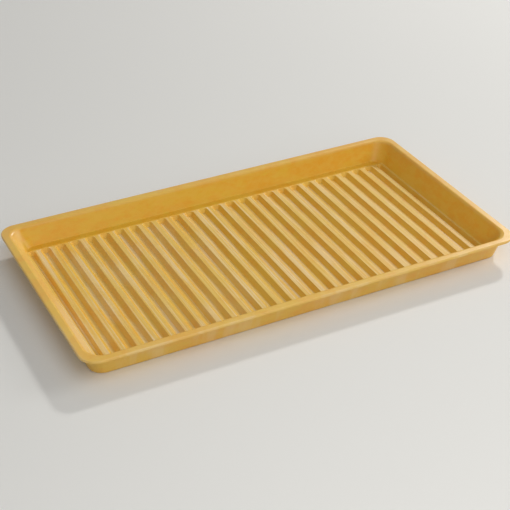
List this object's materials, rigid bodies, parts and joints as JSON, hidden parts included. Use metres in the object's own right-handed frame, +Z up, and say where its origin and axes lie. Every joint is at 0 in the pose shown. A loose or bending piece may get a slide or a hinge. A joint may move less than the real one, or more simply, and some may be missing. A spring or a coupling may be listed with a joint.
{
  "type": "spill containment tray",
  "caption": "Shallow rectangular moulded spill tray with sloping walls, an outward rim with a turned-down lip, and a ribbed floor whose flat ribs hold containers above the liquid.",
  "frame": {"origin": "centre of the footprint, on the surface that the tray stands on", "axes": "+X along the length, across the ribs; +Y along the width, along the ribs; +Z up, towards the rim"},
  "size_m": [1.05, 0.563, 0.058],
  "materials": {
    "yellow_moulding": "semi-gloss"
  },
  "bodies": {
    "root": {"tray_moulding": "yellow_moulding"}
  },
  "joints": []
}
